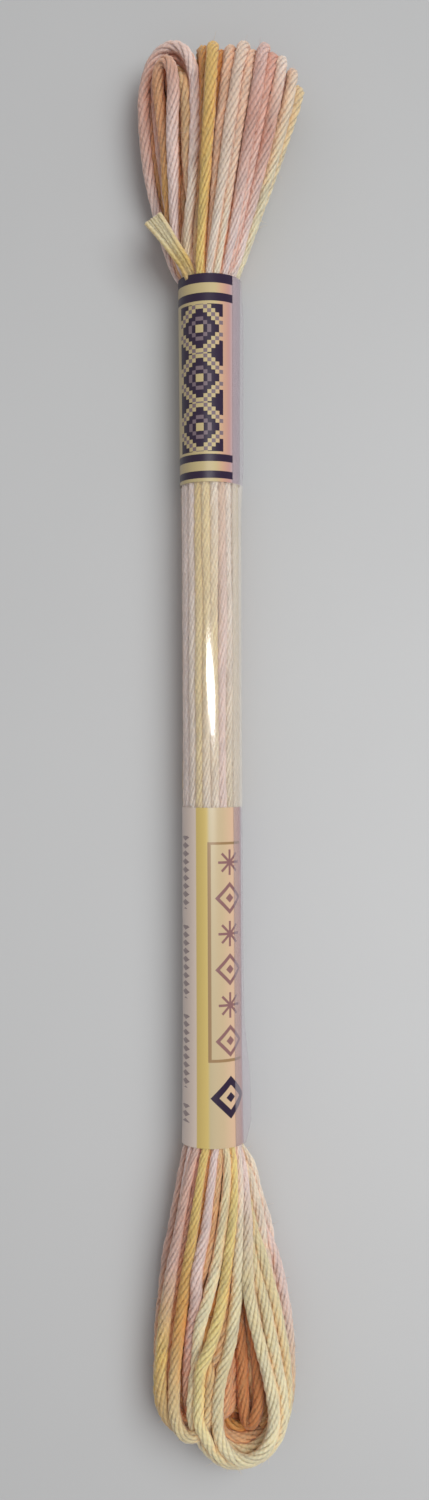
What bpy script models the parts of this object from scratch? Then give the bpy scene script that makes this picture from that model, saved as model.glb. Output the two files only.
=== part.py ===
"""Skein of six-stranded embroidery floss in its printed film sleeve, lying on a table.

The floss is one continuous thread wound back and forth into a hank.  A clear film sleeve holds the
middle of the hank in a tight round bundle, and the turns spread into open loops beyond both mouths.
The hank is one solid: a ribbed core inside the sleeve, fused with the main turns of both flares.

Row frame: origin on the table under the middle of the sleeve, +Y along the bundle towards the flare
with the loose thread end, +Z up.  Lengths are in metres; the tables below are in millimetres.
"""
import math
from collections import namedtuple

import bmesh
import bpy
from mathutils import Vector

MM = 0.001

# Sleeve: a film tube with a flat strip where it rests, and the film's overlap along its right side
SLEEVE_LENGTH = 101.5 * MM
SLEEVE_RADIUS = 3.45 * MM
REST_WIDTH = 2.4 * MM
FILM_WALL = 0.25 * MM
FIT_GAP = 0.3 * MM
LIP_ROOT_DEG = 42
LIP_EDGE_DEG = -4
SLEEVE_POINTS = 40
AXIS_HEIGHT = math.sqrt(SLEEVE_RADIUS**2 - (REST_WIDTH / 2) ** 2)

# Bundle inside the sleeve
BUNDLE_RADIUS = SLEEVE_RADIUS - FILM_WALL - FIT_GAP
RIBS = 20
RIB_DEPTH = 0.2 * MM
POINTS_PER_RIB = 4
CORE_TAPER = 10 * MM
CORE_SWELL = 1.12
CORE_TIP_SHARE = 0.35

# Turns of thread: packed in the bundle, then loose and full in the flares
PACKED_RADIUS = 0.45 * MM
LOOSE_RADIUS = 0.62 * MM
TURN_SIDES = 5
LIMB_STEPS = 5
TIP_STEPS = 6
BEND_PER_HALF = 1.4
ROOT_INSET = 2.5 * MM
SINK_LENGTH = 4 * MM
SWELL_LENGTH = 3 * MM
MOUTH_SWELL = 1.3
SETTLED_AT = 0.55

# Stations along the sleeve: place from its middle, extra width, and how far the film's free edge stands off
Station = namedtuple("Station", "y widen lip")
STATIONS = (
    Station(50.75, 0.22, 0.10),
    Station(46.0, 0.20, 0.32),
    Station(28.0, 0.10, 0.34),
    Station(24.0, 0.04, 0.12),
    Station(6.0, 0.00, 0.10),
    Station(-12.0, 0.00, 0.14),
    Station(-36.0, 0.04, 0.20),
    Station(-43.0, 0.10, 0.85),
    Station(-48.5, 0.16, 0.90),
    Station(-50.75, 0.22, 0.25),
)

# One row for each main turn of a flare, in mm and degrees.  tip_x: its bend's place across the flare.
# reach: from the sleeve's mouth to the bend.  height: of the loop's middle above the table.  half: half the
# open width.  roll: 0 lies flat and open to the sky, 90 stands on edge.  split: share of the reach where the
# limbs part.  bow: how early it swings out sideways.  out, back: where each limb leaves the bundle, around
# its axis from +X.  ring: how far out in the bundle both leave it, 1 at its skin.
Turn = namedtuple("Turn", "tip_x reach height half roll split bow out back ring")
UPPER_TURNS = (
    Turn(-4.8, 26.8, 5.9, 3.2, 4, -0.05, 2.0, 140, 190, 1.0),
    Turn(-4.7, 25.6, 4.2, 2.6, 0, 0.00, 1.8, 155, 210, 1.0),
    Turn(-5.2, 24.4, 6.5, 1.6, 46, 0.40, 1.6, 158, 180, 0.7),
    Turn(-4.2, 25.2, 3.0, 1.6, 8, 0.05, 1.6, 170, 240, 0.7),
    Turn(-5.6, 23.0, 1.2, 2.0, 0, 0.05, 1.4, 235, 222, 1.0),
    Turn(-1.1, 26.6, 4.0, 2.6, 84, 0.10, 1.4, 130, 262, 0.7),
    Turn(0.6, 27.2, 5.0, 4.1, 90, 0.05, 1.0, 120, 255, 1.0),
    Turn(2.4, 26.4, 4.3, 3.3, 88, 0.10, 1.0, 95, 275, 0.7),
    Turn(4.1, 27.2, 5.0, 4.1, 92, 0.05, 1.0, 100, 274, 1.0),
    Turn(5.1, 25.8, 4.0, 3.6, 94, 0.05, 1.0, 82, 284, 1.0),
    Turn(6.4, 26.7, 4.8, 4.0, 90, 0.05, 1.0, 62, 293, 1.0),
    Turn(7.1, 25.0, 3.5, 2.6, 86, 0.10, 1.0, 50, 310, 0.7),
    Turn(8.1, 25.3, 4.4, 3.6, 86, 0.05, 1.0, 43, 312, 1.0),
    Turn(9.4, 23.8, 3.9, 3.0, 82, 0.05, 1.0, 22, 330, 1.0),
    Turn(10.5, 22.0, 3.2, 2.2, 72, 0.05, 1.0, 4, 346, 1.0),
)
LOWER_TURNS = (
    Turn(3.4, 37.4, 4.9, 5.8, -3, 0.00, 2.0, 10, 92, 1.0),
    Turn(3.5, 36.6, 5.9, 5.0, -2, 0.05, 2.0, 22, 76, 1.0),
    Turn(3.9, 35.8, 6.6, 3.6, 0, 0.36, 1.7, 40, 58, 1.0),
    Turn(4.3, 35.3, 5.2, 4.6, -4, 0.20, 1.7, 25, 62, 0.7),
    Turn(4.4, 36.5, 2.3, 5.5, -6, 0.05, 1.7, 352, 300, 1.0),
    Turn(3.5, 34.8, 3.5, 4.9, 0, 0.10, 1.7, 2, 285, 0.7),
    Turn(-1.3, 33.9, 4.3, 2.6, 6, 0.02, 1.5, 90, 128, 0.7),
    Turn(-3.2, 34.4, 4.0, 3.1, 8, 0.02, 1.4, 108, 146, 1.0),
    Turn(-3.2, 33.4, 2.7, 2.6, 4, 0.02, 1.4, 250, 164, 1.0),
    Turn(-3.0, 34.0, 1.3, 3.3, 2, 0.02, 1.4, 268, 184, 1.0),
    Turn(-2.1, 32.6, 2.4, 2.5, 4, 0.02, 1.4, 235, 205, 0.7),
    Turn(2.6, 33.3, 1.5, 4.3, 0, 0.05, 1.7, 334, 232, 1.0),
    Turn(2.8, 31.0, 2.4, 4.0, 4, 0.05, 1.7, 330, 260, 0.7),
    Turn(3.2, 29.0, 1.3, 3.6, -4, 0.05, 1.7, 318, 214, 1.0),
)

# The thread's cut end: a short flattened length that leaves the upper mouth at the left
LooseEnd = namedtuple("LooseEnd", "x y z half_width half_thick")
LOOSE_END = (
    LooseEnd(-3.0, 0.9, 6.05, 0.62, 0.36),
    LooseEnd(-4.0, 2.5, 6.25, 0.68, 0.36),
    LooseEnd(-5.3, 4.4, 6.15, 0.82, 0.34),
    LooseEnd(-6.6, 6.0, 5.85, 1.20, 0.27),
)
LOOSE_END_SIDES = 8


def clear_scene():
    """Start from an empty scene, whatever was open."""
    for obj in list(bpy.data.objects):
        bpy.data.objects.remove(obj, do_unlink=True)


def material(name, colour, roughness, alpha=1.0):
    """A Principled material for one sub-part."""
    made = bpy.data.materials.new(name)
    made.use_nodes = True
    shader = made.node_tree.nodes["Principled BSDF"]
    shader.inputs["Base Color"].default_value = (*colour, 1.0)
    shader.inputs["Roughness"].default_value = roughness
    shader.inputs["Metallic"].default_value = 0.0
    shader.inputs["Alpha"].default_value = alpha
    return made


def mesh_object(name, points, faces, finish):
    """A named object from points and faces."""
    mesh = bpy.data.meshes.new(name)
    mesh.from_pydata([tuple(p) for p in points], [], faces)
    mesh.validate()
    mesh.materials.append(finish)
    obj = bpy.data.objects.new(name, mesh)
    bpy.context.scene.collection.objects.link(obj)
    return obj


def shade_round(obj):
    """Shade a rounded piece smooth, with its creases kept."""
    obj.data.shade_smooth()
    obj.data.set_sharp_from_angle(angle=math.radians(50))


def loft(rings):
    """Points and outward faces of a closed solid through equal rings of points, capped at both ends.

    Each ring runs counter-clockwise when it is seen from the far end of the loft.
    """
    count = len(rings[0])
    points = [p for ring in rings for p in ring]
    faces = []
    for row in range(len(rings) - 1):
        low = row * count
        high = low + count
        for i in range(count):
            j = (i + 1) % count
            faces.append((low + i, low + j, high + j, high + i))
    last = (len(rings) - 1) * count
    faces.append(tuple(reversed(range(count))))
    faces.append(tuple(range(last, last + count)))
    return points, faces


def smooth(t):
    """Smooth step from 0 to 1."""
    t = min(1.0, max(0.0, t))
    return t * t * (3 - 2 * t)


def bend_start(turn):
    """Share of the reach at which a turn's bend begins."""
    return 1 - BEND_PER_HALF * turn.half / turn.reach


def middle_line(turn, u):
    """Middle of a turn in mm as (across, up from the bundle's axis), at share u of its reach."""
    across = turn.tip_x * math.sin(min(1.0, max(0.0, u * turn.bow)) * math.pi / 2)
    return across, (turn.height - AXIS_HEIGHT / MM) * smooth(u / SETTLED_AT)


def limb_point(turn, u, side, seat_deg):
    """A point of one limb, (x, along, z), at share u of the way from the mouth to the bend's far point."""
    roll = math.radians(turn.roll)
    along = u * turn.reach * MM
    open_share = smooth((u - turn.split) / (bend_start(turn) - turn.split))
    spread = side * turn.half * open_share * MM
    swell = 1 + (MOUTH_SWELL - 1) * smooth(along / SWELL_LENGTH)
    seat = turn.ring * (BUNDLE_RADIUS - PACKED_RADIUS) * swell * (1 - smooth(u / SETTLED_AT))
    across, rise = middle_line(turn, u)
    x = across * MM + spread * math.cos(roll) + seat * math.cos(math.radians(seat_deg))
    z = rise * MM + spread * math.sin(roll) + seat * math.sin(math.radians(seat_deg))
    return Vector((x, along, AXIS_HEIGHT + z))


def thread_radius(along):
    """Radius of the thread: it fills out once it has left the sleeve."""
    return PACKED_RADIUS + (LOOSE_RADIUS - PACKED_RADIUS) * smooth(along / SWELL_LENGTH)


def floor_under(along):
    """Lowest place for floss: the film's inside at the mouth, sinking to the table beyond it."""
    return (FILM_WALL + FIT_GAP) * (1 - smooth(along / SINK_LENGTH))


def turn_path(turn):
    """Centre line of one turn as (point, radius) pairs: out along one limb, round the bend and back."""
    starts = bend_start(turn)
    ups = [-ROOT_INSET / (turn.reach * MM)] + [starts * i / LIMB_STEPS for i in range(LIMB_STEPS)]
    points = [limb_point(turn, u, 1, turn.out) for u in ups]
    roll = math.radians(turn.roll)
    for i in range(TIP_STEPS + 1):
        angle = math.pi * i / TIP_STEPS
        u = starts + (1 - starts) * math.sin(angle)
        across, rise = middle_line(turn, u)
        spread = turn.half * math.cos(angle)
        x = across + spread * math.cos(roll)
        z = rise + spread * math.sin(roll)
        points.append(Vector((x * MM, u * turn.reach * MM, AXIS_HEIGHT + z * MM)))
    points += [limb_point(turn, u, -1, turn.back) for u in reversed(ups)]
    path = []
    for p in points:
        radius = thread_radius(p.y)
        path.append((Vector((p.x, p.y, max(p.z, radius + floor_under(p.y)))), radius))
    return path


def tube(path, sides):
    """Points and faces of a round tube along a path of (point, radius) pairs."""
    rings = []
    normal = Vector((0, 0, 1))
    for i, (point, radius) in enumerate(path):
        before = path[max(i - 1, 0)][0]
        after = path[min(i + 1, len(path) - 1)][0]
        along = (after - before).normalized()
        normal = (normal - along * normal.dot(along)).normalized()
        other = along.cross(normal)
        ring = []
        for k in range(sides):
            angle = 2 * math.pi * k / sides
            ring.append(point + radius * (normal * math.cos(angle) + other * math.sin(angle)))
        rings.append(ring)
    return loft(rings)


def place_at_mouth(point, end):
    """A point given from a mouth, (x, along, z), in the row frame; end is 1 for the upper flare, -1 for the lower."""
    return Vector((point.x, end * (SLEEVE_LENGTH / 2 + point.y), point.z))


def make_turns(turns, end, label, finish):
    """The main turns of one flare, as helper solids for the union."""
    made = []
    for index, turn in enumerate(turns):
        placed = [(place_at_mouth(p, end), r) for p, r in turn_path(turn)]
        points, faces = tube(placed, TURN_SIDES)
        made.append(mesh_object(f"{label}_{index:02d}", points, faces, finish))
    return made


def core_ring(y, share):
    """One section of the ribbed core: its ribs are the bundle's outer runs of thread, clear of the sleeve."""
    lowest = FILM_WALL + FIT_GAP
    ring = []
    for i in range(RIBS * POINTS_PER_RIB):
        angle = -2 * math.pi * i / (RIBS * POINTS_PER_RIB)
        wave = 0.5 + 0.5 * math.cos(RIBS * angle)
        radius = (BUNDLE_RADIUS - RIB_DEPTH * (1 - wave)) * share
        x = radius * math.cos(angle)
        z = AXIS_HEIGHT + radius * math.sin(angle)
        ring.append(Vector((x, y, max(z, lowest))))
    return ring


def make_core(name, finish):
    """The packed runs inside the sleeve, which swell at the mouths and taper away between the turns."""
    mouth = SLEEVE_LENGTH / 2
    half = (
        (mouth, 1.0),
        (mouth + CORE_TAPER * 0.2, CORE_SWELL),
        (mouth + CORE_TAPER * 0.45, 0.95),
        (mouth + CORE_TAPER, CORE_TIP_SHARE),
    )
    sections = [(-y, share) for y, share in reversed(half)] + list(half)
    points, faces = loft([core_ring(y, share) for y, share in sections])
    return mesh_object(name, points, faces, finish)


def outer_shell(mesh):
    """Fill the pockets sealed between touching turns: keep only the shell that reaches furthest."""
    work = bmesh.new()
    work.from_mesh(mesh)
    start = max(work.verts, key=lambda v: v.co.y)
    shell = {start}
    edge_of_search = [start]
    while edge_of_search:
        vert = edge_of_search.pop()
        for edge in vert.link_edges:
            other = edge.other_vert(vert)
            if other not in shell:
                shell.add(other)
                edge_of_search.append(other)
    bmesh.ops.delete(work, geom=[v for v in work.verts if v not in shell], context="VERTS")
    work.to_mesh(mesh)
    work.free()


def make_hank(finish):
    """The wound hank as one solid: the core fused with the main turns of both flares."""
    core = make_core("hank_core", finish)
    helpers = bpy.data.collections.new("turn_helpers")
    bpy.context.scene.collection.children.link(helpers)
    turns = make_turns(UPPER_TURNS, 1, "upper_turn", finish) + make_turns(LOWER_TURNS, -1, "lower_turn", finish)
    for turn in turns:
        bpy.context.scene.collection.objects.unlink(turn)
        helpers.objects.link(turn)
    fuse = core.modifiers.new("fuse_turns", "BOOLEAN")
    fuse.operation = "UNION"
    fuse.solver = "EXACT"
    fuse.operand_type = "COLLECTION"
    fuse.collection = helpers
    fused = bpy.data.meshes.new_from_object(core.evaluated_get(bpy.context.evaluated_depsgraph_get()))
    outer_shell(fused)
    for helper in [core] + turns:
        bpy.data.objects.remove(helper, do_unlink=True)
    hank = bpy.data.objects.new("floss_hank", fused)
    bpy.context.scene.collection.objects.link(hank)
    shade_round(hank)
    return hank


def sleeve_ring(station, inner):
    """One section of the film tube, from the right corner of its flat strip round to the left one."""
    wall = FILM_WALL if inner else 0.0
    radius = SLEEVE_RADIUS - wall
    half_flat = math.sqrt(radius**2 - (AXIS_HEIGHT - wall) ** 2)
    start = math.atan2(wall - AXIS_HEIGHT, half_flat)
    sweep = 2 * (math.pi / 2 - start)
    ring = []
    for i in range(SLEEVE_POINTS):
        angle = start + sweep * i / (SLEEVE_POINTS - 1)
        degrees = math.degrees(angle)
        lift = 0.0
        if not inner and LIP_EDGE_DEG <= degrees <= LIP_ROOT_DEG:
            lift = station.lip * MM * ((LIP_ROOT_DEG - degrees) / (LIP_ROOT_DEG - LIP_EDGE_DEG)) ** 2
        x = (radius + lift + station.widen * MM * abs(math.cos(angle))) * math.cos(angle)
        z = AXIS_HEIGHT + (radius + lift) * math.sin(angle)
        ring.append(Vector((x, station.y * MM, max(z, wall))))
    return ring


def make_sleeve(finish):
    """The film sleeve: a thin tube open at both mouths, with its flat strip on the table."""
    outer = [sleeve_ring(station, inner=False) for station in STATIONS]
    inner = [sleeve_ring(station, inner=True) for station in reversed(STATIONS)]
    rings = outer + inner
    points = [p for ring in rings for p in ring]
    faces = []
    for row in range(len(rings)):
        low = row * SLEEVE_POINTS
        high = (row + 1) % len(rings) * SLEEVE_POINTS
        for i in range(SLEEVE_POINTS):
            j = (i + 1) % SLEEVE_POINTS
            faces.append((low + i, low + j, high + j, high + i))
    sleeve = mesh_object("sleeve", points, faces, finish)
    shade_round(sleeve)
    return sleeve


def make_loose_end(finish):
    """The flattened cut end of the thread, spread a little where it was cut."""
    rings = []
    for k, row in enumerate(LOOSE_END):
        here = Vector((row.x, row.y, row.z))
        near = LOOSE_END[max(k - 1, 0)]
        far = LOOSE_END[min(k + 1, len(LOOSE_END) - 1)]
        along = Vector((far.x - near.x, far.y - near.y, far.z - near.z)).normalized()
        wide = along.cross(Vector((0, 0, 1))).normalized()
        thick = wide.cross(along)
        ring = []
        for i in range(LOOSE_END_SIDES):
            angle = -2 * math.pi * i / LOOSE_END_SIDES
            offset = wide * (row.half_width * math.cos(angle)) + thick * (row.half_thick * math.sin(angle))
            ring.append(place_at_mouth((here + offset) * MM, 1))
        rings.append(ring)
    points, faces = loft(rings)
    loose_end = mesh_object("loose_end", points, faces, finish)
    shade_round(loose_end)
    return loose_end


def main():
    clear_scene()
    floss = material("floss_cotton", (0.80, 0.66, 0.48), 0.55)
    cut_end = material("floss_cut_end", (0.80, 0.72, 0.42), 0.6)
    film = material("printed_film", (0.90, 0.86, 0.70), 0.12, alpha=0.45)
    make_hank(floss)
    make_loose_end(cut_end)
    make_sleeve(film)


main()
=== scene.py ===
"""Looks of a skein of embroidery floss: six-ply strands in two flares, and a printed clear film sleeve.

Lengths are in millimetres until Blender gets them, in metres and in the frame's axes: +Y along the skein
towards the loose end, +Z up from the table.  The lamps and the table are in metres throughout.
"""

import math
import random
from collections import namedtuple
from functools import partial, partialmethod, reduce

import bpy
import numpy as np
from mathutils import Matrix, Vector


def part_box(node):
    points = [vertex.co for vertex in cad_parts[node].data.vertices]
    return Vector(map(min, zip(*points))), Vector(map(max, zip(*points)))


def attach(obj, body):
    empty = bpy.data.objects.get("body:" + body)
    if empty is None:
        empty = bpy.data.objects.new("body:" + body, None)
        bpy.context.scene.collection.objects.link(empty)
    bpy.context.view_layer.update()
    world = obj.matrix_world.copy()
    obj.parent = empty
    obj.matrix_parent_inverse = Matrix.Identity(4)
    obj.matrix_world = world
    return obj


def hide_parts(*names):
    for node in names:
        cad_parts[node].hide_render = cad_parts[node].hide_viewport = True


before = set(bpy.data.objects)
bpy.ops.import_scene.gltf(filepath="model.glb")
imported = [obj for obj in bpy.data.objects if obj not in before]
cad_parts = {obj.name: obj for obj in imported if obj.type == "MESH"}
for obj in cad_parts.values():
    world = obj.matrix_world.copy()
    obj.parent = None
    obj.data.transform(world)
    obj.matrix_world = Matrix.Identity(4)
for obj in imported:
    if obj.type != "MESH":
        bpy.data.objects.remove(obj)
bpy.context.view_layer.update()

MM = 0.001

# Sleeve: a tube round the bundle that rests on a flat strip, printed at both ends and clear between them
SLEEVE_HALF = round(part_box("sleeve")[1].y / MM, 2)
SLEEVE_RADIUS = 3.45
REST_WIDTH = 2.4
AXIS_HEIGHT = math.sqrt(SLEEVE_RADIUS**2 - (REST_WIDTH / 2) ** 2)
FILM_THICK = 0.05
FILM_POINTS = 96
FILM_SHARP_DEG = 40
UPPER_PRINT = (26.6, SLEEVE_HALF)
LOWER_PRINT = (-SLEEVE_HALF, -11.2)

# The film's free edge: where it leaves the tube and where it ends, in degrees above the right side
EDGE_ROOT_DEG = 42
EDGE_TIP_DEG = -4
EDGE_GAP = 0.07
EDGE_COLUMNS = 14
EDGE_ROWS = 120

# At places along the sleeve: how much wider than round it is, and how far its free edge stands off it
Station = namedtuple("Station", "y widen lip")
STATIONS = (
    Station(-SLEEVE_HALF, 0.22, 0.25),
    Station(-48.5, 0.16, 0.90),
    Station(-43.0, 0.10, 0.85),
    Station(-36.0, 0.04, 0.20),
    Station(-12.0, 0.00, 0.14),
    Station(6.0, 0.00, 0.10),
    Station(24.0, 0.04, 0.12),
    Station(28.0, 0.10, 0.34),
    Station(46.0, 0.20, 0.32),
    Station(SLEEVE_HALF, 0.22, 0.10),
)

# Thread: six plies of two yarns, packed tight in the sleeve and full once it has left it.  A ply's size and
# its distance from the middle are shares of the strand's radius.
PLIES = 6
PLY_SIDES = 5
PLY_SIZE = 0.45
PLY_ORBIT = 0.56
TWIST_PITCH = 8.0
TWIST_SPREAD = (0.85, 1.2)
SHADE_SPREAD = (0.96, 1.03)
PLY_YARNS = 2
PLY_TWIST_PITCH = 1.3
RELIEF_SHIFT = 1.7
RING_STEP = 0.5
LOOSE_RADIUS = 0.75
PACKED_RADIUS = 0.51
FULL_AT = 18.0

# How the turns leave the bundle: it swells a little at the mouth, each limb starts inside the sleeve and
# reaches its turn's height at a share of its length, and a wide turn has a long bend
BUNDLE_RADIUS = SLEEVE_RADIUS - FILM_THICK
MOUTH_SWELL = 1.10
SWELL_LENGTH = 3.0
ROOT_INSET = 7.0
SETTLED_AT = 0.70
BEND_PER_HALF = 1.4
LIMB_POINTS = 60
BEND_POINTS = 40

# Settling: turns that run through one another are pushed apart in small moves, mostly across the skein.
# They are held inside the sleeve, and come free over a short length from its mouth.
SETTLE_STEP = 0.9
SETTLE_ROUNDS = 70
SEARCH_EVERY = 12
SEARCH_MARGIN = 1.6
SAME_STRETCH = 5
TOUCH = 0.84
PUSH = 0.5
PUSH_ALONG = 0.2
KEEP_PLACE = 0.03
EVEN_OUT = 0.15
HELD_UP_TO = -1.0
FREE_LENGTH = 3.0
TINY = 1e-6

# What wavers along a strand: by how much, and over what length
Waver = namedtuple("Waver", "amount wave")
STRAND_SWAY = Waver(1.0, 8)
STRAND_FLATNESS = Waver(0.10, 9)
PLY_TURN = Waver(0.22, 4.5)
PLY_DISTANCE = Waver(0.10, 5)
PLY_SHADE = Waver(0.05, 12)
RUN_TURN = Waver(0.05, 12)
RUN_DISTANCE = Waver(0.04, 8)
CUT_LIFT = Waver(0.05, 2)
SWAY_WIDTH = 0.07
SWAY_START = 4
SUNK = 0.98

# Painted light and shade in the thread's colour: painted warm bounce light and shade where a ply faces
# a strand beside it, painted light that pales the thread near a mouth, and painted shade, a little pinker,
# round the bends of the fan
GROOVE_PAINTED_SHADE = np.array((1.18, 0.94, 0.82))
PAINTED_SHADE_FROM = 0.25
PAINTED_SHADE_RANGE = 0.65
NEIGHBOURS = 6
NEIGHBOUR_END = 1.9
NEIGHBOUR_RANGE = 0.8
BLOCK = 40
MOUTH_PAINTED_LIGHT = 1.20
MOUTH_PAINTED_LIGHT_LENGTH = 9.0
BEND_PAINTED_SHADE = {"upper_fan": np.array((0.90, 0.83, 0.83))}
BEND_PAINTED_SHADE_START = 6.0
BEND_PAINTED_SHADE_LENGTH = 11.0

# Loose fibres on the strands; they start a little below a strand's surface and keep clear of the sleeve
HAIRS_PER_MM = 1.0
HAIR_RINGS = 5
HAIR_SIDES = 3
HAIR_LENGTH = (0.35, 1.1)
HAIR_RADIUS = 0.022
HAIR_TAPER = 0.6
HAIR_LEAN = 1.6
HAIR_CURL = 0.5
HAIR_ROOT = 0.85
HAIR_FLOOR = 0.03
HAIR_CLEAR = 0.3

# The hidden middle of the bundle, which tapers where it reaches out of the mouths
CORE_RADIUS = 2.3
CORE_OUT = 4
CORE_TAPER = 5
CORE_LEAST = 0.1
CORE_RINGS = 60
CORE_SIDES = 24

# The runs behind the window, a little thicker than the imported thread, which end under the prints
RUN_OVERLAP = 3
RUN_GAP = 0.05
RUN_EXTRA = 0.04
RUN_FLOOR = 0.1

# The cut end: across, out of the upper mouth and up, along its run; then its flattening towards the cut
LOOSE_END = (
    (-1.6, -4.0, 4.7), (-1.9, -0.5, 5.15), (-2.8, 1.3, 6.0),
    (-4.0, 2.9, 6.3), (-5.3, 4.9, 6.15), (-6.5, 6.6, 5.85),
)
CUT_STEP = 1.0
CUT_LENGTH = 12
CUT_HALF = 0.45
CUT_SPREAD = 0.62
CUT_LOOSE = 0.10
CUT_LOOSE_TURN = 2.4
CUT_PLY_RADIUS = 0.33
CUT_TIPS = np.array((0.04, 0.08))
CUT_TIP_RADII = (0.31, 0.02)
CUT_SHADE = 0.92
CUT_SHADE_SPREAD = (0.95, 1.03)


def srgb(red, green, blue):
    """A linear colour from display values of 0 to 255."""
    return tuple((v / 255) ** 2.2 for v in (red, green, blue))


DYES = {
    "gold": srgb(222, 182, 112),
    "yellow": srgb(230, 198, 130),
    "amber": srgb(208, 152, 92),
    "rust": srgb(196, 128, 84),
    "tan": srgb(208, 172, 132),
    "lemon": srgb(230, 213, 174),
    "straw": srgb(224, 202, 158),
    "cream": srgb(232, 206, 184),
    "peach": srgb(226, 188, 160),
    "pink": srgb(230, 196, 186),
    "rose": srgb(206, 162, 148),
    # painted shade: a darker pink for the shaded left sides of both flares
    "mauve": srgb(202, 166, 154),
    "pale": srgb(250, 232, 212),
    # painted shade: a darker rose for the shaded left loops of the upper flare
    "blush": srgb(242, 210, 200),
    "clay": srgb(216, 154, 114),
    "dusk": srgb(180, 134, 120),
    "shell": srgb(254, 232, 222),
    "ivory": srgb(240, 220, 176),
    "maize": srgb(244, 214, 146),
    "butter": srgb(250, 222, 162),
}

# One row for each turn of a flare.
# tip_x: where its bend lies across the flare.
# reach: from the mouth to the bend.
# height: of the middle of the loop.
# half: half its open width.
# roll: 0 lies open to the sky, 90 stands on edge.
# part: how late the limbs part, 1 being evenly.
# bow: how late it swings sideways.
# out, back: where each limb leaves the bundle, in degrees around its axis.
# ring: how far out in the bundle both leave it, as a share of its radius.
# dyes: along the turn, from its first root to its last.
Turn = namedtuple("Turn", "tip_x reach height half roll part bow out back ring dyes")
UPPER_TURNS = {
    "upper_loops": (
        Turn(-4.4, 27.8, 5.1, 3.3, 28, 0.82, 0.3, 138, 190, 1.0,
             "tan tan cream blush pink rose rose pink pink mauve"),
        Turn(-4.2, 27.0, 4.3, 2.6, 22, 0.9, 0.35, 150, 200, 1.0,
             "tan tan cream rose rose dusk clay amber clay amber"),
        Turn(-5.2, 25.9, 6.2, 1.75, 48, 4.0, 0.5, 158, 178, 0.9,
             "pink pink pink pink pink rose clay clay amber clay clay clay"),
        Turn(-5.3, 25.4, 4.5, 1.05, 15, 1.5, 0.5, 166, 186, 0.85, "clay clay clay rose mauve mauve"),
        Turn(-5.3, 24.6, 3.9, 0.4, 15, 1.5, 0.5, 168, 196, 0.7, "clay clay clay clay clay"),
        Turn(-4.6, 26.3, 2.6, 2.5, 8, 0.9, 0.5, 176, 240, 0.8, "tan tan clay clay clay amber amber"),
        Turn(-5.0, 25.6, 1.4, 2.4, 0, 1.0, 0.5, 235, 222, 1.0, "clay clay clay mauve amber"),
        Turn(-3.2, 24.8, 4.9, 1.0, 60, 1.0, 0.7, 127, 220, 0.85, "peach peach tan tan tan amber"),
        Turn(-3.6, 26.2, 4.2, 0.95, 50, 1.0, 0.5, 140, 215, 0.85, "peach tan tan tan tan"),
    ),
    "upper_fan": (
        Turn(-0.5, 27.7, 4.0, 3.2, 84, 1.0, 1.0, 122, 262, 0.8, "tan tan amber gold amber tan"),
        Turn(0.0, 26.0, 3.6, 2.6, 84, 1.0, 1.0, 120, 262, 0.8, "tan clay tan"),
        Turn(0.7, 27.5, 5.0, 4.1, 90, 1.0, 1.0, 110, 255, 1.0, "gold gold gold gold amber"),
        Turn(1.7, 26.9, 4.3, 3.4, 88, 1.0, 1.0, 102, 265, 0.85, "gold amber amber amber tan"),
        Turn(2.7, 27.2, 4.6, 4.0, 88, 1.0, 1.0, 96, 275, 0.8, "peach peach peach tan tan"),
        Turn(3.6, 26.4, 4.3, 3.7, 90, 1.0, 1.1, 88, 280, 0.8, "clay rose rose tan"),
        Turn(4.45, 27.5, 5.0, 4.1, 92, 1.0, 1.15, 90, 274, 1.0, "cream cream cream pink rose"),
        Turn(5.5, 26.7, 4.5, 3.9, 92, 1.0, 1.0, 74, 284, 1.0, "lemon cream cream tan amber"),
        Turn(6.1, 26.2, 4.2, 3.7, 90, 1.0, 1.0, 64, 300, 0.85, "clay rose clay"),
        Turn(6.77, 27.3, 4.8, 4.1, 90, 1.0, 0.98, 55, 293, 1.0, "pink pink rose pink rose pink rose"),
        Turn(7.7, 26.5, 4.4, 3.7, 86, 1.0, 0.95, 42, 310, 0.9, "rose pink rose rose tan"),
        Turn(8.6, 26.1, 4.4, 3.7, 86, 1.0, 0.92, 27, 312, 1.0, "cream pink rose pale rose rose rose"),
        Turn(9.2, 24.6, 3.6, 2.9, 80, 1.0, 0.95, 18, 320, 0.8, "rose pink rose"),
        Turn(9.9, 25.0, 3.9, 3.0, 82, 1.0, 0.95, 8, 330, 1.0, "straw lemon cream lemon tan"),
        Turn(10.8, 23.6, 3.2, 2.2, 72, 1.0, 1.1, -8, 346, 1.0, "straw lemon straw yellow cream"),
    ),
}
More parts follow.
